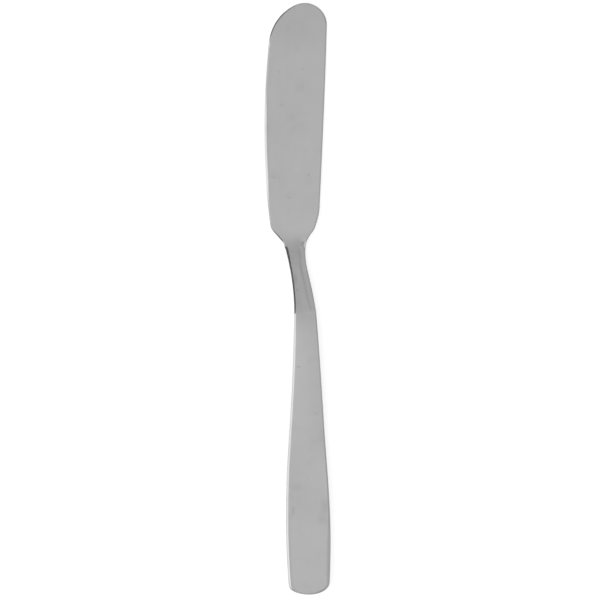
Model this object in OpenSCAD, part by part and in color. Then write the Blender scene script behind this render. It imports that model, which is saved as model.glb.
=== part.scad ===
// Butter knife with a cranked neck: a forged blade whose tang is brazed into a solid handle.
// It lies flat as on a table. X runs across it with the spine of the blade towards +X,
// Y runs from the butt to the tip, Z points up, and the outline is centred on the origin.
// Until that last move, X and Y are measured from the middle of the joint.

/* [Blade] */
// Length from the corner of the shoulder to the tip
blade_l = 65.25; // [58:0.25:72]
// Breadth from the belly of the edge to the top of the spine
blade_w = 17.9; // [15:0.1:21]
// Radius of the shallow bow along the edge
edge_bow_r = 245; // [180:5:400]
// How far the spine draws in towards the heel
spine_slant = 2.05; // [0.5:0.05:3]
// Sideways reach of the spine from the middle of the joint
spine_reach = 6.2; // [5.2:0.05:7.2]
// Height of the slanting shoulder on the edge side
shoulder_l = 4.35; // [3.5:0.05:6]
// Length of the sweep that joins the spine to the neck
sweep_l = 13.5; // [11:0.5:16]
// Thickness at the heel
heel_t = 1.4; // [1.2:0.05:2]
// Thickness at the very tip
tip_t = 0.8; // [0.7:0.05:1.2]
// Extra thickness where the thinning of the tip starts
tip_thinning = 0.4; // [0.1:0.05:0.5]
// Length of the thinned tip
tip_thin_l = 10.5; // [6:0.5:16]
// Breadth of the rounding round the blade
edge_round = 0.28; // [0.15:0.01:0.3]
// Breadth of the bevel ground along the edge
grind_w = 0.6; // [0.4:0.05:1.2]
// Depth of the bevel ground along the edge
grind_h = 0.3; // [0.15:0.01:0.35]

/* [Neck] */
// Length from the joint to the heel of the blade
neck_l = 19.7; // [16:0.1:26]
// Breadth where the neck is narrowest
neck_w = 5.1; // [4.4:0.05:5.8]
// Breadth where the neck runs into the heel
heel_w = 6; // [5.9:0.05:6.8]
// Sideways step of the neck from the joint to the heel
neck_crank = 2.9; // [1.5:0.05:4]
// Height of the blade's underside over the table at the heel
heel_rise = 0.8; // [0.4:0.05:1.2]
// Breadth and depth of the facet down the edge side of the neck, at the heel
facet_w = 0.8; // [0.4:0.05:0.9]
// Depth of the crease along the top of the neck
crease_h = 0.06; // [0.02:0.01:0.12]

/* [Handle] */
// Length from the joint to the butt
handle_l = 80.7; // [70:0.1:95]
// Broadest part of the handle
handle_w = 12.75; // [10:0.05:15]
// Breadth at the joint
joint_w = 6.35; // [6:0.05:8]
// Sideways drift of the handle's middle line from the joint to the butt
handle_drift = 1.15; // [0:0.05:2]
// Thickness just below the joint
handle_t = 3.6; // [3.2:0.05:4.4]
// Thickness at the butt
butt_t = 2.9; // [2.4:0.05:3.6]
// Length of the butt's rounding on the edge side
butt_edge_l = 2; // [1:0.1:4]
// Length of the butt's rounding on the spine side
butt_spine_l = 4.2; // [2:0.1:6]
// Breadth of the coined edge round the top
coin_w = 0.65; // [0.4:0.05:1]
// Depth of the coined edge round the top
coin_h = 0.35; // [0.2:0.05:0.6]
// Rounding round the underside of the knife
under_r = 0.25; // [0.15:0.05:0.3]
// Height of the soft crown across the top of the handle
crown_h = 0.05; // [0.02:0.01:0.15]

/* [Joint] */
// Breadth of the tang
tang_w = 3.2; // [2:0.1:3.8]
// Thickness of the tang
tang_t = 1.6; // [1:0.1:1.8]
// Length of the tang inside the handle
tang_l = 14; // [8:0.5:25]
// Thickness of the braze across the joint and round the tang
braze_t = 0.1; // [0.05:0.01:0.15]

/* [Hidden] */

// Steps round the tip, round the butt and round each rounded edge
tip_steps = 16;
butt_steps = 12;
round_steps = 3;
// Spacing of the sections along straight stretches, and where the outline turns
run_step = 2;
turn_step = 0.65;

// Tip: a tight arc on the spine side runs into a wide one that meets the bow of the edge
tip_spine_share = 0.357;
tip_edge_share = 0.75;
tip_turn = 26;
// The spine slants slowly below the tip and faster towards the heel
slant_power = 1.2;
// Share of the sweep that bulges out before it hollows in to the neck
sweep_share = 0.58;
// The sweep starts a little below the heel
sweep_low_share = 0.1;
// Slant of the shoulder on the edge side, and the softness of its inner corner
shoulder_turn = 42;
heel_soft = 0.35;

// Middle line: [share of the handle or neck, share of the drift or crank]
handle_axis_shares = [[-1, 1], [-0.75, 0.75], [-0.5, 0.5], [-0.2, 0.36], [0, 0]];
neck_axis_shares = [[0.15, 0.1], [0.3, 0.23], [0.5, 0.455], [0.7, 0.73], [0.85, 0.89], [1, 1]];
// Breadth: [share of the handle, share of the way from the joint's breadth to the full one]
handle_w_shares = [[-1, 0.79], [-0.9, 0.93], [-0.77, 1], [-0.6, 0.88], [-0.4, 0.56],
                   [-0.2, 0.26], [0, 0]];
// Breadth: [share of the neck, share of the way from the narrowest breadth to the joint's]
neck_w_shares = [[0.3, 0.48], [0.6, 0], [0.78, 0]];
// Breadth near the heel, on the way from the narrowest breadth to the heel's
neck_flare_shares = [[0.9, 0.45], [1, 1]];
// The butt's lowest point, as a share of its breadth, and the fullness of its corners
butt_low_share = 0.53;
butt_power = 2.1;

// Top line from the handle down to the heel: [share of the run, share of the fall]
fall_shares = [[0, 0], [0.235, 0.11], [0.39, 0.25], [0.63, 0.53], [0.94, 0.96], [1, 1]];
fall_lead = 0.08 * handle_l;
fall_end = neck_l + shoulder_l / 3;
// Underside of the neck: [share of the neck, share of the rise to the heel]
rise_shares = [[0, 0], [0.25, 0.2], [0.6, 0.75], [0.95, 1]];
// Facet on the neck: [share of the neck, share of its breadth at the heel]
facet_shares = [[0, 0.55], [0.95, 1]];
// Crease on the neck, which turns into a faint crown on the blade, and crown on the handle:
// [share of the length, share of the height]
crease_shares = [[0, 0.3], [0.2, 1], [0.85, 1], [1, -0.3]];
crown_shares = [[-1, 0.3], [-0.9, 1], [-0.15, 1], [0, 0.2]];
// Where the crease runs: [share of the neck, share of its breadth]
crease_place_shares = [[0, 0.85], [0.25, 0.7], [0.5, 0.65], [0.85, 0.7], [1, 0.75], [1.3, 0.5]];
// Bevel of the edge: [share of the blade's length, share of its full size]
grind_shares = [[0.05, 0], [0.25, 1], [0.8, 1], [0.92, 0]];

corner_y = neck_l + shoulder_l;
tip_y = corner_y + blade_l;
heel_top = heel_rise + heel_t;
sweep_low = neck_l * (1 - sweep_low_share);
sweep_top = sweep_low + sweep_l;
butt_edge_y = -handle_l + butt_edge_l;
butt_spine_y = -handle_l + butt_spine_l;

// Centres and radii of the three arcs on the edge side, and the heights where they meet
tip_spine_r = blade_w * tip_spine_share;
tip_edge_r = blade_w * tip_edge_share;
tip_c = [spine_reach - tip_spine_r, tip_y - tip_spine_r];
round_c = tip_c + (tip_edge_r - tip_spine_r) * [sin(tip_turn), -cos(tip_turn)];
bow_x = spine_reach - blade_w + edge_bow_r;
bow_gap = edge_bow_r - tip_edge_r;
bow_c = [bow_x, round_c[1] - sqrt(max(0, bow_gap ^ 2 - (bow_x - round_c[0]) ^ 2))];
tip_meet_y = tip_c[1] + tip_spine_r * cos(tip_turn);
bow_meet_y = round_c[1] + tip_edge_r * (round_c[1] - bow_c[1]) / bow_gap;

// A smooth curve through rows of [place, level] that rise in place, read at one place
function slope_at(rows, i) =
    let (a = rows[max(i - 1, 0)], b = rows[min(i + 1, len(rows) - 1)])
    (b[1] - a[1]) / (b[0] - a[0]);
function row_below(rows, at, i = 0) =
    i + 2 < len(rows) && at > rows[i + 1][0] ? row_below(rows, at, i + 1) : i;
function level(rows, at) =
    let (i = row_below(rows, at), a = rows[i], b = rows[i + 1], run = b[0] - a[0],
         u = min(1, max(0, (at - a[0]) / run)))
    a[1] * (2 * u ^ 3 - 3 * u ^ 2 + 1) + b[1] * (3 * u ^ 2 - 2 * u ^ 3)
    + run * (slope_at(rows, i) * (u ^ 3 - 2 * u ^ 2 + u) + slope_at(rows, i + 1) * (u ^ 3 - u ^ 2));
function scaled(shares, length, rise, base = 0) =
    [for (s = shares) [s[0] * length, base + s[1] * rise]];

// Half the width of a circle of one centre and radius at the height y
function arc_x(c, r, y) = sqrt(max(0, r ^ 2 - (y - c[1]) ^ 2));

// Two arcs, hollow then bulging, that climb by rise over run; read at the distance d
function sweep(run, rise, bulge_share, d) =
    let (turn = 2 * atan(rise / run), radii = run / sin(turn),
         bulge_r = radii * bulge_share, hollow_r = radii - bulge_r)
    d < hollow_r * sin(turn) ? hollow_r - sqrt(hollow_r ^ 2 - d ^ 2)
    : rise - bulge_r + sqrt(bulge_r ^ 2 - (run - d) ^ 2);

// Outline of the blade: the edge on the left, the spine on the right
function edge_x(y) =
    y > tip_meet_y ? tip_c[0] - arc_x(tip_c, tip_spine_r, y)
    : y > bow_meet_y ? round_c[0] - arc_x(round_c, tip_edge_r, y)
    : bow_c[0] - arc_x(bow_c, edge_bow_r, y);
function spine_x(y) =
    y > tip_c[1] ? tip_c[0] + arc_x(tip_c, tip_spine_r, y)
    : spine_reach - spine_slant * ((tip_c[1] - y) / (tip_c[1] - sweep_top)) ^ slant_power;

// Middle line and breadth of the neck and handle
axis_rows = concat(scaled(handle_axis_shares, handle_l, handle_drift),
                   scaled(neck_axis_shares, neck_l, -neck_crank));
breadth_rows = concat(scaled(handle_w_shares, handle_l, handle_w - joint_w, joint_w),
                      scaled(neck_w_shares, neck_l, joint_w - neck_w, neck_w),
                      scaled(neck_flare_shares, neck_l, heel_w - neck_w, neck_w));
function bar_x(y, side) = level(axis_rows, y) + side * level(breadth_rows, y) / 2;

// A corner of the butt draws the side in to the lowest point of the outline
butt_low_x = bar_x(-handle_l, 2 * butt_low_share - 1);
function butt_x(side_x, depth) =
    butt_low_x + (side_x - butt_low_x) * (1 - min(1, max(0, depth)) ^ butt_power) ^ (1 / butt_power);

// Left and right side of the whole knife at the height y
function left_x(y) =
    y > corner_y ? edge_x(y)
    : y > sweep_low / 2 ? let (bar = bar_x(y, -1),
        slant = edge_x(corner_y) + (corner_y - y) * tan(shoulder_turn))
        (bar + slant - norm([bar - slant, heel_soft])) / 2
    : butt_x(bar_x(y, -1), (butt_edge_y - y) / butt_edge_l);
function right_x(y) =
    y > sweep_top ? spine_x(y)
    : y > sweep_low ? let (bar = bar_x(sweep_low, 1))
        bar + sweep(sweep_l, spine_x(sweep_top) - bar, sweep_share, y - sweep_low)
    : butt_x(bar_x(y, 1), (butt_spine_y - y) / butt_spine_l);

// Heights of the top and the underside
fall_run = fall_end + fall_lead;
handle_top_rows = concat([[-handle_l, butt_t]],
    [for (s = fall_shares) [s[0] * fall_run - fall_lead, handle_t - s[1] * (handle_t - heel_top)]]);
blade_top_rows = [[fall_end, heel_top],
                  [tip_y - tip_thin_l, tip_t + tip_thinning], [tip_y, tip_t]];
under_rows = concat(scaled(rise_shares, neck_l, heel_rise),
                    [[corner_y + shoulder_l, heel_rise * (1 - shoulder_l / blade_l)], [tip_y, 0]]);
function top_z(y) = y > fall_end ? level(blade_top_rows, y) : level(handle_top_rows, y);
function under_z(y) = y > 0 ? level(under_rows, y) : 0;

// How far the crease or the crown lifts the middle of the top, and where it runs
function ridge_z(y) =
    y > 0 ? -crease_h * level(crease_shares, y / neck_l) : crown_h * level(crown_shares, y / handle_l);
function ridge_share(y) = y > 0 ? level(crease_place_shares, y / neck_l) : 0.5;

// Cuts along the top edges as [breadth, depth, flatness]: 0 is round, and 1 is a flat facet
facet_end = neck_l + heel_soft;
function blade_left_cut(y) =
    let (s = level(facet_shares, y / neck_l), g = level(grind_shares, (y - corner_y) / blade_l))
    y < facet_end ? [facet_w * s, facet_w * s, 1]
    : [edge_round + g * (grind_w - edge_round), edge_round + g * (grind_h - edge_round), g];
function blade_right_cut(y) = [edge_round, edge_round, 0];
function handle_cut(y) = [coin_w, coin_h, 0];

// Unit vector along a side at its section i. It is square to the joint there, and where
// the sides meet at the tip or the butt it points across to the other side.
function along(side, other, i, joint_i) =
    let (last = len(side) - 1,
         a = i == 0 ? other[0] : side[i - 1], b = i == last ? other[last] : side[i + 1])
    i == joint_i ? [0, 1] : (b - a) / norm(b - a);

// Points up one side of a section, from the flat of the underside to the flat of the top
function side_points(p, inward, cut, low, high) =
    let (under = [for (i = [0:round_steps]) 90 * i / round_steps])
    concat([for (a = under) let (in = under_r * (1 - sin(a)))
                [p[0] + inward[0] * in, p[1] + inward[1] * in, low + under_r * (1 - cos(a))]],
           [for (a = under) let (in = cut[0] * (cut[2] * a / 90 + (1 - cut[2]) * (1 - cos(a))),
                down = cut[1] * (cut[2] * (1 - a / 90) + (1 - cut[2]) * (1 - sin(a))))
                [p[0] + inward[0] * in, p[1] + inward[1] * in, high - down]]);

// The sections of a bar at the heights ys: each is a ring up its left side, over the
// ridge and down its right side
function sections(ys, joint_i, left_cuts, right_cuts) =
    let (left = [for (y = ys) [left_x(y), y]], right = [for (y = ys) [right_x(y), y]])
    [for (i = [0:len(ys) - 1])
        let (y = ys[i], l = along(left, right, i, joint_i), r = along(right, left, i, joint_i),
             up = side_points(left[i], [l[1], -l[0]], left_cuts[i], under_z(y), top_z(y)),
             down = side_points(right[i], [-r[1], r[0]], right_cuts[i], under_z(y), top_z(y)),
             n = len(up) - 1, s = ridge_share(y))
        concat(up, [up[n] * (1 - s) + down[n] * s + [0, 0, ridge_z(y)]],
               [for (k = [n:-1:0]) down[k]])];

// Closed bar through its sections: walls between neighbours, and ends zipped side to side
module bar(rings) {
    n = len(rings[0]);
    half = (n - 1) / 2;
    last = (len(rings) - 1) * n;
    walls = [for (i = [0:len(rings) - 2], k = [0:n - 1])
        let (a = i * n + k, b = i * n + (k + 1) % n) each [[a, a + n, b + n], [a, b + n, b]]];
    zip = concat([for (k = [0:half - 2]) each [[k, k + 1, n - 2 - k], [k, n - 2 - k, n - 1 - k]]],
                 [[half - 1, half, half + 1]]);
    start = zip;
    end = [for (f = zip) [last + f[2], last + f[1], last + f[0]]];
    polyhedron([for (r = rings) each r], concat(walls, start, end));
}

// Heights from a up to but not b, at about one step apart
function spread(a, b, step) =
    let (n = max(1, round((b - a) / step))) [for (i = [0:n - 1]) a + (b - a) * i / n];

blade_ys = concat(spread(0, neck_l, run_step / 2), spread(neck_l, corner_y, turn_step),
                  spread(corner_y, sweep_top, turn_step), spread(sweep_top, tip_c[1], run_step),
                  [for (i = [0:tip_steps]) tip_c[1] + tip_spine_r * sin(90 * i / (tip_steps + 0.5))]);
handle_ys = concat([for (i = [0:butt_steps - 1])
                        butt_spine_y - butt_spine_l * cos(90 * (i + 0.5) / butt_steps)],
                   spread(butt_spine_y, -braze_t, run_step), [-braze_t]);
handle_rings = sections(handle_ys, len(handle_ys) - 1,
                        [for (y = handle_ys) handle_cut(y)], [for (y = handle_ys) handle_cut(y)]);

// Places the knife with its outline centred on the origin
sides_x = [for (y = concat(blade_ys, handle_ys)) each [left_x(y), right_x(y)]];
module placed() {
    translate([-(min(sides_x) + max(sides_x)) / 2, (handle_l - tip_y) / 2, 0]) children();
}

// Tang, or the room that it and a skin of braze take up in the handle
module tang(skin = 0, root = 0) {
    translate([-tang_w / 2 - skin, -tang_l - skin, (handle_t - tang_t) / 2 - skin])
        cube([tang_w + 2 * skin, tang_l + skin + root, tang_t + 2 * skin]);
}

// Blade, neck and tang, drop-forged in one from stainless bar
module blade() {
    color("#b2b2b2") placed() union() {
        bar(sections(blade_ys, 0, [for (y = blade_ys) blade_left_cut(y)],
                     [for (y = blade_ys) blade_right_cut(y)]));
        tang(root = tang_w / 2);
    }
}

// Solid handle with a coined edge and a blind socket for the tang
module handle() {
    color("#b8b8b8") placed() difference() {
        bar(handle_rings);
        tang(skin = braze_t);
    }
}

// Braze metal: a thin film across the joint and a sleeve round the tang
module braze_seam() {
    end = [for (p = handle_rings[len(handle_rings) - 1]) [p[0], p[2]]];
    color("#a5a29b") placed() difference() {
        union() {
            rotate([90, 0, 0]) linear_extrude(braze_t) polygon(end);
            tang(skin = braze_t);
        }
        tang(root = tang_w / 2);
    }
}

blade();
handle();
braze_seam();
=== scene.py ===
# A plain butter knife in satin-polished stainless steel, lying face up on white.
# Sizes are in millimetres, measured from the middle of the joint between blade and
# handle: x across the knife with the spine on the plus side, y towards the tip, z up.
# Only the dark spots on the steel, nicks and smudges and painted shade, are measured from the
# middle of the whole knife.
import math
import bmesh
import bpy
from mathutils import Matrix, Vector


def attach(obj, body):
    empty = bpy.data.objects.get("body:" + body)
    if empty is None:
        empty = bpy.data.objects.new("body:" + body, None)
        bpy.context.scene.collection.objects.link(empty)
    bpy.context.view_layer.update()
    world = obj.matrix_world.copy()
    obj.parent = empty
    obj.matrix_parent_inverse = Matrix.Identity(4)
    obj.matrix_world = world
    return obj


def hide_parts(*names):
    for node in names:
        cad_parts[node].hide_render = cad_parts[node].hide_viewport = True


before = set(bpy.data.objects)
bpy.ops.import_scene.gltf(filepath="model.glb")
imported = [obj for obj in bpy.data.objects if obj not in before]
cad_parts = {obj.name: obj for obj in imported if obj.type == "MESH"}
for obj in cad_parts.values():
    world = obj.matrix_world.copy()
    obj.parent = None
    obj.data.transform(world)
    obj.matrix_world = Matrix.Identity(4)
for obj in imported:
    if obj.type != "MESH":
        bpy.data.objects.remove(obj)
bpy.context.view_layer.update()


# Blade, neck and tang: one stainless drop forging. The blade is rolled out flat and thin,
# the neck steps aside and down to it with a struck facet along its left, and the square
# tang behind the joint is buried in the handle.
mm = 0.001
joint_x, joint_y = 2.2054, -4.3
joint_to_tip = 89.3
shoulder_y = 24.48
spine_x = 6.2
blade_breadth = 17.9
edge_bow_radius = 245
tip_spine_radius = 6.39
tip_edge_radius = 13.425
tip_turn = math.radians(26)
# From the tip's arc down to the sweep the spine draws in by this much, a little faster
# further down
spine_drawn_in, spine_curve = 2.05, 1.2
# On the right the neck sweeps out to the spine between these heights. The second arc of
# the sweep has this share of it, and its middle is a little fuller: where, by how much,
# and how far that reaches
sweep_y = (17.73, 31.23)
sweep_bulge_share = 0.58
sweep_fullness = (24, 0.3, 1.63)
# On the left a slanting shoulder joins neck and edge, softened at both of its corners. The
# top of the struck facet stands out there as a small corner: where, how far, its reach
shoulder_slope = math.tan(math.radians(42))
edge_softness, neck_softness = 0.5, 0.2
facet_corner = (19.25, 0.14, 0.5)

# Middle line and breadth of the neck by height; the first row belongs to the handle, so
# that the lines run smoothly across the joint
neck_middle = [(-16.14, 0.4), (0, 0), (2.955, -0.25), (5.91, -0.62), (9.85, -1.285),
               (13.79, -2.08), (16.745, -2.581), (19.7, -2.94)]
neck_breadth = [(-16.14, 8.014), (0, 6.35), (2.955, 5.95), (5.91, 5.61), (11.82, 5.03),
                (15.366, 5.07), (17.73, 5.505), (19.7, 6.06)]
# How steeply the top of the whole knife falls towards the tip, in degrees
top_fall = [(-80.7, -0.55), (-60, -0.22), (-46, 0), (-38, -0.4), (-30, -0.75), (-10, -0.7),
            (-6.4, -0.2), (-3.6, 1.4), (-0.7, 2.4), (0.1, 2.75), (0.8, 3.35), (1.6, 3.5),
            (3.9, 3.7), (6.5, 3.7), (11, 4), (18.6, 4.2), (22.3, 2), (25.2, 0.8), (29.8, 0.88),
            (74, 0.88), (76.9, 1.05), (79.7, 1.4), (89.3, 1.35)]
top_at_joint = 3.455
underside = [(0, 0), (4.925, 0.16), (11.82, 0.6), (18.715, 0.8), (28.4, 0.747), (89.3, 0)]
# The die left a low fold down the face of the neck, gentle on its left and steep on its
# right: its place across the neck, its height, and the reach of its two slopes
fold_place = [(0, 0.76), (2.8, 0.69), (5, 0.63), (7.4, 0.6), (10, 0.58), (13.1, 0.55),
              (16.5, 0.64), (19, 0.66), (23, 0.7)]
fold_height = [(0, 0), (1, 0.018), (4, 0.026), (10, 0.034), (13, 0.046), (16.4, 0.052),
               (18.4, 0.012), (20, 0)]
fold_left, fold_right = 1.3, 0.36
# A little to the right of the fold the face begins to rise towards its side, by so many
# millimetres for each one across
face_rise = [(0, 0), (1, 0.008), (12, 0.016), (15, 0.045), (18.5, 0.04), (20.7, 0)]
fold_to_rise = 0.3
# A shallow dent lies where neck and blade meet
dent_spot = Vector((-0.85, 20.75))
dent_depth = 0.035
dent_reach = Vector((0.5, 0.6))
blade_crown = [(16, 0), (28, 0.02), (70, 0.02), (89.3, 0.005)]
# Cuts along the top edges as (at this height, breadth, depth, flatness). On the left they
# are the struck facet of the neck, the dressed shoulder, the bevel ground on the edge, and
# the tip; on the right the eased neck, a struck chamfer at its top, and the eased spine
left_cuts = [(0, 0.36, 0.3, 1), (2, 0.52, 0.43, 1), (10, 0.6, 0.5, 1), (14.2, 0.66, 0.55, 1),
             (18, 0.84, 0.7, 1), (19, 0.84, 0.7, 1), (19.25, 0.2, 0.2, 0), (20.3, 0.2, 0.2, 0),
             (20.8, 0.4, 0.34, 0.9), (22.3, 0.4, 0.34, 0.9), (24, 0.32, 0.28, 0.6),
             (27.3, 0.28, 0.28, 0), (38, 0.62, 0.26, 1), (56, 0.58, 0.24, 1),
             (64, 0.5, 0.12, 1), (70, 0.54, 0.14, 1), (77, 0.52, 0.135, 1),
             (78.4, 0.36, 0.2, 0.3), (80.6, 0.38, 0.32, 0.85), (88.4, 0.38, 0.32, 0.85),
             (89.3, 0.28, 0.26, 0.3)]
right_cuts = [(0, 0.28, 0.28, 0), (2.5, 0.32, 0.32, 0), (5.5, 0.4, 0.4, 0), (9, 0.28, 0.28, 0),
              (18.6, 0.28, 0.28, 0), (19.5, 0.76, 0.84, 1), (20.4, 0.76, 0.84, 1),
              (20.9, 0.3, 0.24, 0.6), (22, 0.34, 0.26, 0.8), (27, 0.34, 0.26, 0.8),
              (31, 0.36, 0.29, 0.5), (84, 0.36, 0.29, 0.6), (89.3, 0.28, 0.26, 0.3)]
# Grinding the edge left a faint lip along the inside of its bevel
edge_lip = [(30, 0), (36, 0.02), (60, 0.02), (66, 0)]
lip_reach = 0.3
# Roundings of the underside's edges and of the corners of each flat cut
under_round = 0.25
corner_round = 0.02
tang_breadth, tang_thickness, tang_length = 3.2, 1.6, 14
tang_middle_z = 1.8


def level(rows, at):
    """The height at one place of a smooth line drawn through rows of (place, height)."""
    i = 0
    while i + 2 < len(rows) and at > rows[i + 1][0]:
        i += 1
    lean = []
    for k in (i, i + 1):
        before, after = rows[max(k - 1, 0)], rows[min(k + 1, len(rows) - 1)]
        lean.append((after[1] - before[1]) / (after[0] - before[0]))
    (y0, z0), (y1, z1) = rows[i], rows[i + 1]
    run = y1 - y0
    u = min(1, max(0, (at - y0) / run))
    return (z0 * (2 * u**3 - 3 * u**2 + 1) + z1 * (3 * u**2 - 2 * u**3)
            + run * (lean[0] * (u**3 - 2 * u**2 + u) + lean[1] * (u**3 - u**2)))


def between(rows, at):
    """The values at one place between rows of (place, value, value, ...)."""
    for low, high in zip(rows, rows[1:]):
        if at <= high[0]:
            part = max(0, (at - low[0]) / (high[0] - low[0]))
            return [a + (b - a) * part for a, b in zip(low[1:], high[1:])]
    return rows[-1][1:]


def half_chord(centre, radius, y):
    return math.sqrt(max(0, radius**2 - (y - centre.y) ** 2))


# The bow of the edge runs smoothly into the larger arc at the tip, and that into the
# smaller one. Up to plain_neck_end the shoulder doesn't reach the neck
tip_centre = Vector((spine_x - tip_spine_radius, joint_to_tip - tip_spine_radius))
round_centre = tip_centre + (tip_edge_radius - tip_spine_radius) * Vector(
    (math.sin(tip_turn), -math.cos(tip_turn)))
bow_gap = edge_bow_radius - tip_edge_radius
bow_centre = Vector((spine_x - blade_breadth + edge_bow_radius, 0))
bow_centre.y = round_centre.y - math.sqrt(bow_gap**2 - (bow_centre.x - round_centre.x) ** 2)
round_meets_tip = tip_centre.y + tip_spine_radius * math.cos(tip_turn)
bow_meets_round = round_centre.y + tip_edge_radius * (round_centre.y - bow_centre.y) / bow_gap
plain_neck_end = sweep_y[0] / 2


def edge_side(y):
    """The cutting side of the blade: a long bow and two arcs round the tip."""
    if y > round_meets_tip:
        return tip_centre.x - half_chord(tip_centre, tip_spine_radius, y)
    if y > bow_meets_round:
        return round_centre.x - half_chord(round_centre, tip_edge_radius, y)
    return bow_centre.x - half_chord(bow_centre, edge_bow_radius, y)


def spine_side(y):
    """The spine: one arc round the tip, then nearly straight and drawing in."""
    if y > tip_centre.y:
        return tip_centre.x + half_chord(tip_centre, tip_spine_radius, y)
    gone = (tip_centre.y - y) / (tip_centre.y - sweep_y[1])
    return spine_x - spine_drawn_in * gone**spine_curve


def neck_side(y, side):
    """The neck's left side for -1 and its right side for 1."""
    return level(neck_middle, y) + side * level(neck_breadth, y) / 2


def forging_left(y):
    """Neck, slanting shoulder and edge, with both corners of the shoulder rounded."""
    if y > sweep_y[1]:
        return edge_side(y)
    bar = neck_side(y, -1)
    if y < plain_neck_end:
        return bar
    edge = edge_side(y)
    slant = edge_side(shoulder_y) + (shoulder_y - y) * shoulder_slope
    heel = (edge + slant + math.hypot(edge - slant, edge_softness)) / 2
    highest, extra, reach = facet_corner
    extra *= math.exp(-((y - highest) / reach) ** 2)
    return (bar + heel - math.hypot(bar - heel, neck_softness)) / 2 - extra


def forging_right(y):
    """Neck, the sweep out of it in two arcs, hollow and then bulging, and the spine."""
    if y > sweep_y[1]:
        return spine_side(y)
    if y < sweep_y[0]:
        return neck_side(y, 1)
    start = neck_side(sweep_y[0], 1)
    run, rise = sweep_y[1] - sweep_y[0], spine_side(sweep_y[1]) - start
    turn = 2 * math.atan(rise / run)
    bulge = sweep_bulge_share * run / math.sin(turn)
    hollow = run / math.sin(turn) - bulge
    gone = y - sweep_y[0]
    fullest, extra, reach = sweep_fullness
    start += extra * math.exp(-((y - fullest) / reach) ** 2)
    if gone < hollow * math.sin(turn):
        return start + hollow - math.sqrt(hollow**2 - gone**2)
    return start + rise - bulge + math.sqrt(bulge**2 - (run - gone) ** 2)


# The top line is the sum of its falls, taken in short steps from just below the butt to
# just past the tip
step = 0.1
below_joint, above_joint = 81, 90
top_heights = [0]
for k in range(round((below_joint + above_joint) / step)):
    fall = level(top_fall, -below_joint + (k + 0.5) * step)
    top_heights.append(top_heights[-1] - step * math.tan(math.radians(fall)))
top_lift = top_at_joint - top_heights[round(below_joint / step)]


def top_z(y):
    k, part = divmod((min(y, joint_to_tip) + below_joint) / step, 1)
    low, high = top_heights[int(k)], top_heights[int(k) + 1]
    return top_lift + low + (high - low) * part


def under_z(y):
    """The handle lies flat on the table, and the neck and the blade arch up from it."""
    return level(underside, y) if y > 0 else 0


# How many points each ring of the mesh has: over a cut's two corners, round an edge of the
# underside, across the top and across the underside
corner_shares = (0, 1 / 3, 2 / 3, 1)
cut_points = 2 * len(corner_shares)
round_points = 5
top_points = 36
under_points = 7


def cut_line(breadth, depth, flatness):
    """Points over a cut edge as (in from the side, down from the top). Flatness 0 is a
    round and 1 is a flat facet with softened corners."""
    along = Vector((breadth, -depth)).normalized() * corner_round
    low, high = Vector((0, depth)), Vector((breadth, 0))
    corners = [(low + Vector((0, corner_round)), low, low + along),
               (high - along, high, high + Vector((corner_round, 0)))]
    points = []
    for a, b, c in corners:
        for t in corner_shares:
            flat = a * (1 - t) ** 2 + b * 2 * t * (1 - t) + c * t**2
            turn = math.radians(90 * len(points) / (cut_points - 1))
            curve = Vector((breadth * (1 - math.cos(turn)), depth * (1 - math.sin(turn))))
            points.append(curve.lerp(flat, flatness))
    return points


def side_line(p, inward, cut, rise):
    """Points up one side of a section, from the flat underside to the flat top."""
    line = []
    for k in range(round_points):
        turn = math.radians(90 * k / (round_points - 1))
        spot = p + inward * under_round * (1 - math.sin(turn))
        line.append(Vector((*spot, under_z(spot.y) + under_round * (1 - math.cos(turn)))))
    for gone_in, down in cut_line(*cut):
        spot = p + inward * gone_in
        line.append(Vector((*spot, top_z(spot.y) + rise - down)))
    return line


def section(left, right, left_along, right_along, left_cut, right_cut, lift):
    """One ring round the knife: up the left side, over the top, down the right side and
    back along the underside. lift(share, span, y) raises the top above its even line."""
    span = (right - left).length
    up = side_line(left, Vector((left_along.y, -left_along.x)), left_cut,
                   lift(0, span, left.y))
    down = side_line(right, Vector((-right_along.y, right_along.x)), right_cut,
                     lift(1, span, right.y))
    a, b = up[-1], down[-1]
    span = (b - a).length
    shares = [0.5 - 0.5 * math.cos(math.pi * (k + 1) / (top_points + 1))
              for k in range(top_points)]
    top = [a.lerp(b, s) for s in shares]
    for s, p in zip(shares, top):
        p.z = top_z(p.y) + lift(s, span, p.y)
    under = [down[0].lerp(up[0], (k + 1) / (under_points + 1)) for k in range(under_points)]
    for p in under:
        p.z = under_z(p.y)
    return up + top + down[::-1] + under


def sections(heights, left_of, right_of, joint, left_cut, right_cut, lift):
    """The rings at these heights. At the ring numbered joint the edges are square to the
    joint, and where the sides meet at an end they point across to each other."""
    left = [Vector((left_of(y), y)) for y in heights]
    right = [Vector((right_of(y), y)) for y in heights]
    rings = []
    for i, y in enumerate(heights):
        ways = []
        for side, other in ((left, right), (right, left)):
            a = side[i - 1] if i else other[1]
            b = side[i + 1] if i + 1 < len(side) else other[-2]
            ways.append(Vector((0, 1)) if i == joint else (b - a).normalized())
        rings.append(section(left[i], right[i], *ways, left_cut(y), right_cut(y), lift))
    return rings


def squeezed(ring, breadth, thickness, y):
    """The ring pressed in to a rectangle round the tang, at the height y."""
    half, low, high = breadth / 2, tang_middle_z - thickness / 2, tang_middle_z + thickness / 2
    return [Vector((min(half, max(-half, p.x)), y, min(high, max(low, p.z)))) for p in ring]


def spread(start, end, apart):
    """Heights from start up to but not end, about so far apart."""
    count = max(1, round((end - start) / apart))
    return [start + (end - start) * k / count for k in range(count)]


def shift_to_frame(p):
    """From the middle of the joint to the frame, whose origin is the middle of the knife."""
    return Vector((p.x + joint_x, p.y + joint_y, p.z)) * mm


merge_gap = 0.0005
crease = math.radians(35)


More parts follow.
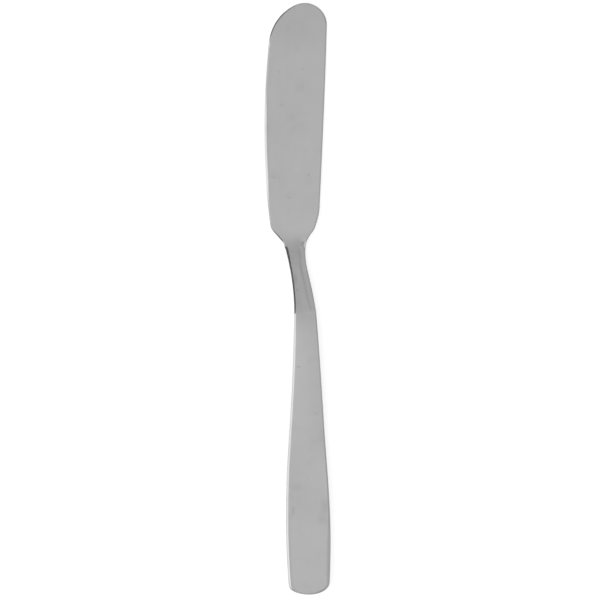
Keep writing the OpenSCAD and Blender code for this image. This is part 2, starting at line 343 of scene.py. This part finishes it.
def forge(name, rings, material):
    """One closed shell drawn out of a ring: each extrusion is set to the next section."""
    bm = bmesh.new()
    ring = bmesh.ops.create_circle(bm, segments=len(rings[0]), radius=mm)["verts"]
    rim = list(bm.edges)
    bmesh.ops.contextual_create(bm, geom=rim)
    for i, points in enumerate(rings):
        if i:
            grown = bmesh.ops.extrude_edge_only(bm, edges=rim)["geom"]
            fresh = {g for g in grown if isinstance(g, bmesh.types.BMVert)}
            ring = [next(e.other_vert(v) for e in v.link_edges if e.other_vert(v) in fresh)
                    for v in ring]
            rim = [g for g in grown if isinstance(g, bmesh.types.BMEdge)
                   and g.verts[0] in fresh and g.verts[1] in fresh]
        for v, p in zip(ring, points):
            v.co = shift_to_frame(p)
    bmesh.ops.contextual_create(bm, geom=rim)
    bmesh.ops.remove_doubles(bm, verts=bm.verts, dist=merge_gap * mm)
    bmesh.ops.dissolve_degenerate(bm, edges=bm.edges, dist=merge_gap * mm)
    bmesh.ops.recalc_face_normals(bm, faces=bm.faces)
    for face in bm.faces:
        face.smooth = True
    for edge in bm.edges:
        if edge.is_manifold and edge.calc_face_angle() > crease:
            edge.smooth = False
    mesh = bpy.data.meshes.new(name)
    bm.to_mesh(mesh)
    bm.free()
    piece = bpy.data.objects.new(name, mesh)
    bpy.context.scene.collection.objects.link(piece)
    mesh.materials.append(material)
    return piece


def linear(hex_colour):
    """The linear colour of an sRGB hex value."""
    parts = [int(hex_colour[i:i + 2], 16) / 255 for i in (1, 3, 5)]
    return [c / 12.92 if c <= 0.04045 else ((c + 0.055) / 1.055) ** 2.4 for c in parts] + [1]


def node(tree, kind, sockets, **settings):
    """Adds a node with its settings. A socket is given a value or another node's output."""
    made = tree.nodes.new("ShaderNode" + kind)
    for key, value in settings.items():
        setattr(made, key, value)
    for socket, value in sockets.items():
        if isinstance(value, bpy.types.NodeSocket):
            tree.links.new(value, made.inputs[socket])
        else:
            made.inputs[socket].default_value = value
    return made


# Clouds left by wiping are 8 to 15 mm across, and smudges about 3 mm. Pits and specks lie
# about 5 mm apart in the steel, and are half a millimetre across at most. Grit lines are
# under 0.02 mm apart, which is too fine to show: they are drawn 0.15 mm apart and 12 mm long
cloud_size, smudge_size, speck_gap = 11, 3, 5
grit_gap, grit_length, grit_depth = 0.15, 12, 0.004
grit_roughness = 0.05


def polished_steel(name, colour, dark_colour, roughness, cloud_seed, dark_spots=()):
    """18/10 stainless steel polished with fine grit along its length and wiped by hand: an
    even grey sheen, with faint clouds from wiping, hair lines from the grit and odd pits.
    Dark spots are handling nicks and smudges, and painted shade such as the darker left of
    the neck, as (x, y, reach across, reach along, depth)."""
    material = bpy.data.materials.new(name)
    material.use_nodes = True
    tree = material.node_tree
    tree.nodes.clear()
    place = node(tree, "TexCoord", {}).outputs["Object"]
    clouds = node(tree, "TexNoise", {"Vector": place, "W": cloud_seed, "Detail": 2,
                                     "Scale": 1 / (cloud_size * mm)}, noise_dimensions="4D")
    smudges = node(tree, "TexNoise", {"Vector": place, "W": cloud_seed + 3, "Detail": 3,
                                      "Scale": 1 / (smudge_size * mm)}, noise_dimensions="4D")
    fine, long = 1 / (grit_gap * mm), 1 / (grit_length * mm)
    stretched = node(tree, "Mapping", {"Vector": place, "Scale": (fine, long, fine)})
    lines = node(tree, "TexNoise", {"Vector": stretched.outputs[0], "Scale": 1, "Detail": 2})
    specks = node(tree, "TexVoronoi", {"Vector": place, "Scale": 1 / (speck_gap * mm)})
    speck = node(tree, "MapRange", {"Value": specks.outputs["Distance"], "From Min": 0.025,
                                    "From Max": 0.05, "To Min": 1, "To Max": 0},
                 interpolation_type="SMOOTHSTEP")
    blotch = node(tree, "MapRange", {"Value": smudges.outputs[0], "From Min": 0.5,
                                     "From Max": 0.85, "To Min": 0, "To Max": 0.5},
                  interpolation_type="SMOOTHSTEP")
    cloud = node(tree, "MapRange", {"Value": clouds.outputs[0], "From Min": 0.3,
                                    "From Max": 0.7, "To Min": 0, "To Max": 0.5})
    dirt_and_shade = node(tree, "Math", {0: blotch.outputs[0], 1: cloud.outputs[0]}, operation="ADD")
    dirt_and_shade = node(tree, "Math", {0: dirt_and_shade.outputs[0], 1: speck.outputs[0]}, operation="ADD",
                use_clamp=True)
    # Each dark spot darkens the colour: some are nicks and smudges, some are painted shade
    for x, y, across, along, depth in dark_spots:
        spot = node(tree, "Mapping", {"Vector": place,
                                      "Location": (-x / across, -y / along, 0),
                                      "Scale": (1 / (across * mm), 1 / (along * mm), 0)})
        away = node(tree, "VectorMath", {0: spot.outputs[0]}, operation="LENGTH")
        dark_spot = node(tree, "MapRange", {"Value": away.outputs["Value"], "To Min": depth,
                                       "To Max": 0}, interpolation_type="SMOOTHSTEP")
        dirt_and_shade = node(tree, "Math", {0: dirt_and_shade.outputs[0], 1: dark_spot.outputs[0]}, operation="ADD")
    tone = node(tree, "Mix", {0: dirt_and_shade.outputs[0], "A": linear(colour),
                              "B": linear(dark_colour)}, data_type="RGBA", clamp_factor=False)
    grain = node(tree, "MapRange", {"Value": lines.outputs[0],
                                    "To Min": roughness - grit_roughness,
                                    "To Max": roughness + grit_roughness})
    relief = node(tree, "Bump", {"Height": lines.outputs[0], "Strength": 0.3,
                                 "Distance": grit_depth * mm})
    shader = node(tree, "BsdfPrincipled", {"Base Color": tone.outputs["Result"],
                                           "Metallic": 1, "Roughness": grain.outputs[0],
                                           "Normal": relief.outputs[0]})
    node(tree, "OutputMaterial", {"Surface": shader.outputs[0]})
    return material


def forging_lift(share, span, y):
    """The fold of the neck, the face rising on its right, the dent beyond its end, the
    crown of the blade, and the lip along its edge."""
    off = (share - level(fold_place, y)) * span
    slopes = math.exp(-(off / (fold_left if off < 0 else fold_right)) ** 2)
    fold = max(0, between(fold_height, y)[0]) * slopes
    fold += between(face_rise, y)[0] * max(0, off - fold_to_rise)
    crown = max(0, between(blade_crown, y)[0]) * (1 - (2 * share - 1) ** 2)
    across = (forging_left(y) + share * span - dent_spot.x) / dent_reach.x
    dent = dent_depth * math.exp(-(across**2) - ((y - dent_spot.y) / dent_reach.y) ** 2)
    lip = max(0, between(edge_lip, y)[0]) * math.exp(-(share * span / lip_reach) ** 2)
    return fold + crown - dent + lip


# Rings lie closer together at the top of the neck and its shoulder, where the form turns
# most, and round the ends of the knife they follow a quarter turn
neck_rings, shoulder_rings, long_rings = 0.35, 0.2, 1
shoulder_from = 18
end_rings = 40
blade_heights = (spread(0, shoulder_from, neck_rings)
                 + spread(shoulder_from, shoulder_y, shoulder_rings)
                 + spread(shoulder_y, sweep_y[1], neck_rings)
                 + spread(sweep_y[1], tip_centre.y, long_rings)
                 + [tip_centre.y + tip_spine_radius * math.sin(math.radians(90 * k / end_rings))
                    for k in range(end_rings + 1)])
blade_rings = sections(blade_heights, forging_left, forging_right, 0,
                       lambda y: between(left_cuts, y), lambda y: between(right_cuts, y),
                       forging_lift)
# Dark spots on the blade: nicks and smudges, and painted shade, the broad first one on the left
# of the neck
blade_dark_spots = [(-0.75, 5.35, 1, 2.8, 1.3), (-0.15, 2.56, 0.4, 0.45, 1.8),
               (0.4, -1.26, 0.35, 0.4, 1.2), (3.16, -3.6, 0.35, 0.4, 1.3),
               (-4.51, 55.6, 1, 0.8, 0.6), (-1.81, 51.9, 2.2, 2.2, 0.35),
               (3.21, 35.5, 0.4, 0.5, 1.3), (-7.07, 34.8, 1, 0.35, 1),
               (-2.36, 28.9, 1.3, 0.6, 0.6), (1.52, 66, 1.1, 0.35, 0.9),
               (-5.4, 65.2, 0.4, 0.7, 1)]
blade_steel = polished_steel("blade_polished_stainless", "#BEBEBE", "#B5B5B5",
                             roughness=0.21, cloud_seed=1.7, dark_spots=blade_dark_spots)
tang_end, tang_root = [squeezed(blade_rings[0], tang_breadth, tang_thickness, y)
                       for y in (-tang_length, 0)]
blade = forge("blade_forging", [tang_end, tang_root] + blade_rings, blade_steel)
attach(blade, "root")
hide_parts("blade")


# Handle: a solid stainless bar that widens to the butt. Its rim is coined, struck down at a
# slant all round, and a blind socket in its end takes the tang.
handle_length = 80.7
braze = 0.1
handle_middle = [(-80.7, 1.15), (-60.525, 0.8625), (-42, 0.53), (-16.14, 0.4), (0, 0),
                 (2.955, -0.25)]
handle_breadth = [(-80.7, 11.406), (-72.63, 12.302), (-62.139, 12.75), (-48.42, 11.982),
                  (-32.28, 9.934), (-16.14, 8.014), (0, 6.35), (2.955, 5.95)]
# The butt has its lowest point at this share of its breadth, and a rounded corner to each
# side of it, this full and this long
butt_low_share = 0.49
butt_fullness = 2.1
butt_left_length, butt_right_length = 2.8, 3.6
# The coined rim as (at this height, breadth, depth, flatness), broadest on the right near
# the butt
coin_left = [(-80.7, 0.45, 0.3, 0.45), (-80.2, 0.3, 0.26, 0.5), (-78.8, 0.64, 0.33, 0.9),
             (-8, 0.62, 0.32, 0.9), (0, 0.5, 0.21, 0.9)]
coin_right = [(-80.7, 0.45, 0.3, 0.45), (-80.1, 0.75, 0.35, 0.4), (-75, 1.05, 0.35, 0.4),
              (-70, 1.2, 0.35, 0.4), (-66, 1.2, 0.35, 0.4), (-60, 0.8, 0.35, 0.35),
              (-56, 0.55, 0.35, 0.3), (-40, 0.45, 0.35, 0.2), (0, 0.4, 0.33, 0.2)]
# Coining raised a faint lip along the inside of the left rim near the butt, and further up
# polishing took it off and a little more
coin_lip = [(-80.7, 0), (-78.8, 0.04), (-70, 0.04), (-60, 0.025), (-57, 0), (-52, -0.015),
            (-38, -0.015), (-33, 0), (0, 0)]
# The top is hand polished into a slight wave, crowned near the neck and hollow further
# down: this share of it shows along the middle, and the rest the other way at the sides
handle_crown = [(-80.7, 0.02), (-57, 0.02), (-47, -0.12), (-38, 0), (-30, 0.08), (-20, 0.09),
                (-9, 0.06), (-3, 0.02), (0, 0)]
crown_middle_share = 0.3


def handle_side(y, side):
    return level(handle_middle, y) + side * level(handle_breadth, y) / 2


butt_low_x = handle_side(-handle_length, 2 * butt_low_share - 1)


def rounded_butt(x, depth):
    """Draws a side in to the lowest point of the butt, over the depth of its corner."""
    depth = min(1, max(0, depth))
    return butt_low_x + (x - butt_low_x) * (1 - depth**butt_fullness) ** (1 / butt_fullness)


def handle_left(y):
    return rounded_butt(handle_side(y, -1),
                        (butt_left_length - handle_length - y) / butt_left_length)


def handle_right(y):
    return rounded_butt(handle_side(y, 1),
                        (butt_right_length - handle_length - y) / butt_right_length)


def handle_lift(share, span, y):
    """The wave of the top, and the lip inside the coined rim on the left."""
    lip = between(coin_lip, y)[0] * math.exp(-(share * span / lip_reach) ** 2)
    return level(handle_crown, y) * (crown_middle_share - (2 * share - 1) ** 2) + lip


# Towards the joint, from here on, the rings lie closer together
near_joint, near_rings = -8, 0.4
butt_top = butt_right_length - handle_length
handle_heights = ([butt_top - butt_right_length * math.cos(math.radians(90 * k / end_rings))
                   for k in range(end_rings)]
                  + spread(butt_top, near_joint, long_rings)
                  + spread(near_joint, -braze, near_rings) + [-braze])
handle_rings = sections(handle_heights, handle_left, handle_right, len(handle_heights) - 1,
                        lambda y: between(coin_left, y), lambda y: between(coin_right, y),
                        handle_lift)
# Darker spots painted on the handle, as (x, y, reach across, reach along, depth)
handle_dark_spots = [(0.23, -19.6, 0.9, 0.45, 1.3), (5.3, -33, 1.1, 0.6, 0.8),
                (-1.3, -60.7, 0.9, 2.4, 0.9), (7.9, -59.6, 2.2, 3.8, 0.8),
                (7, -63.6, 2.4, 2.2, 0.6), (0, -54.2, 3, 1.8, 0.5)]
handle_steel = polished_steel("handle_polished_stainless", "#BCBCBC", "#B3B3B3",
                              roughness=0.21, cloud_seed=5.2, dark_spots=handle_dark_spots)
joint_face = handle_rings[-1]
mouth, socket_end = [squeezed(joint_face, tang_breadth + 2 * braze,
                              tang_thickness + 2 * braze, y)
                     for y in (-braze, -tang_length - braze)]
handle = forge("handle_bar", handle_rings + [mouth, socket_end], handle_steel)
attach(handle, "root")
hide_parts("handle")


# Braze: silver solder drawn into the joint by heat, a film of 0.1 mm across it and a sleeve
# round the tang. Only its rim shows, dressed flush with the steel and a shade duller.
braze_metal = polished_steel("silver_braze_dressed_flush", "#BCBBB9", "#B0AFAC",
                             roughness=0.24, cloud_seed=9.1)
film_top = [p + Vector((0, braze, 0)) for p in joint_face]
sleeve_top, sleeve_end = [squeezed(joint_face, tang_breadth, tang_thickness, y)
                          for y in (0, -tang_length)]
seam = forge("braze_film", [socket_end, mouth, joint_face, film_top, sleeve_top, sleeve_end],
             braze_metal)
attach(seam, "root")
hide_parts("braze_seam")


# Table: a sheet of matt white board, wide enough to fill every view from above. The camera
# and the steel see it lit up to white, and it keeps the knife's shadow. Half its side is
# given in metres.
board_half = 1.6
board = bmesh.new()
bmesh.ops.create_grid(board, x_segments=1, y_segments=1, size=board_half)
board_mesh = bpy.data.meshes.new("white_board")
board.to_mesh(board_mesh)
board.free()
table = bpy.data.objects.new("white_board", board_mesh)
bpy.context.scene.collection.objects.link(table)
board_paint = bpy.data.materials.new("white_board_matt")
board_paint.use_nodes = True
tree = board_paint.node_tree
tree.nodes.clear()
seen = node(tree, "LightPath", {})
camera_or_gloss = node(tree, "Math", {0: seen.outputs["Is Camera Ray"],
                                      1: seen.outputs["Is Glossy Ray"]}, operation="MAXIMUM")
shown = node(tree, "Math", {0: camera_or_gloss.outputs[0],
                            1: seen.outputs["Is Transmission Ray"]}, operation="MAXIMUM")
matt = node(tree, "BsdfDiffuse", {"Color": linear("#D8D8D8")})
glow = node(tree, "Emission", {"Strength": 0.6})
both = node(tree, "AddShader", {0: matt.outputs[0], 1: glow.outputs[0]})
choice = node(tree, "MixShader", {0: shown.outputs[0], 1: matt.outputs[0], 2: both.outputs[0]})
node(tree, "OutputMaterial", {"Surface": choice.outputs[0]})
board_mesh.materials.append(board_paint)


# Light: a soft white tent over the table, with one strip box low on the left and a black
# card under it. All of it is in the world, as a brightness for each direction.
tent = bpy.data.worlds.new("light_tent")
bpy.context.scene.world = tent
tent.use_nodes = True
tree = tent.node_tree
tree.nodes.clear()
way = node(tree, "SeparateXYZ", {0: node(tree, "TexCoord", {}).outputs["Generated"]})
across, along, up = way.outputs[0], way.outputs[1], way.outputs[2]
to_left = node(tree, "Math", {0: across, 1: -1}, operation="MULTIPLY").outputs[0]
turned = node(tree, "Math", {0: along, 1: to_left}, operation="ARCTAN2").outputs[0]
from_left = node(tree, "Math", {0: turned}, operation="ABSOLUTE").outputs[0]
height = node(tree, "Math", {0: up}, operation="ARCSINE").outputs[0]
# Each row is (what it goes by, start, end, first, last): the light changes smoothly from
# first to last as the value goes from start to end. The tent is darker overhead towards
# the tip and brighter beyond it, darker low beyond the butt, and darker towards the spine
# and once more low on that side
deg = math.radians(1)
tent_rows = [(along, 0.06, 0.15, 1, 0.59), (along, 0.28, 0.5, 1, 1.3),
             (along, -0.75, -0.3, 0.75, 1), (across, -0.35, 0.45, 1.1, 0.78),
             (across, 0.6, 0.85, 1, 0.84)]
card_rows = [(height, 17 * deg, 23 * deg, 0.92, 0), (from_left, 50 * deg, 72 * deg, 1, 0)]
box_rows = [(height, 22 * deg, 29 * deg, 0, 0.6), (height, 48 * deg, 58 * deg, 1, 0),
            (from_left, 25 * deg, 40 * deg, 1, 0)]
lights = []
for rows in (tent_rows, card_rows, box_rows):
    product = None
    for gauge, start, end, first, last in rows:
        fade = node(tree, "MapRange", {"Value": gauge, "From Min": start, "From Max": end,
                                       "To Min": first, "To Max": last},
                    interpolation_type="SMOOTHSTEP").outputs[0]
        if product:
            fade = node(tree, "Math", {0: product, 1: fade}, operation="MULTIPLY").outputs[0]
        product = fade
    lights.append(product)
tent_light, card_shade, box_light = lights
past_card = node(tree, "Math", {0: 1, 1: card_shade}, operation="SUBTRACT")
tent_light = node(tree, "Math", {0: tent_light, 1: past_card.outputs[0]},
                  operation="MULTIPLY")
strength = node(tree, "Math", {0: tent_light.outputs[0], 1: box_light}, operation="ADD")
light = node(tree, "Background", {"Color": linear("#FCFCFC"),
                                  "Strength": strength.outputs[0]})
node(tree, "OutputWorld", {"Surface": light.outputs[0]})


# Camera: straight above the table on a long lens, with the tip of the blade at the top. It
# is 4 m up, so that the thickness of the knife hardly shows at its sides. Its height, and
# the breadth of the picture at the height of the knife's face, are in metres.
camera_x, camera_y = 0.686, -0.393
camera_height = 4
face_height = 0.002
picture_breadth = 0.17233
camera = bpy.data.cameras.new("camera_above")
viewpoint = bpy.data.objects.new("camera_above", camera)
bpy.context.scene.collection.objects.link(viewpoint)
camera.sensor_width = 36
camera.lens = camera.sensor_width * (camera_height - face_height) / picture_breadth
camera.clip_start = 0.1
camera.clip_end = 10
viewpoint.location = (camera_x * mm, camera_y * mm, camera_height)
bpy.context.scene.camera = viewpoint

view = bpy.context.scene.view_settings
view.view_transform = "Standard"
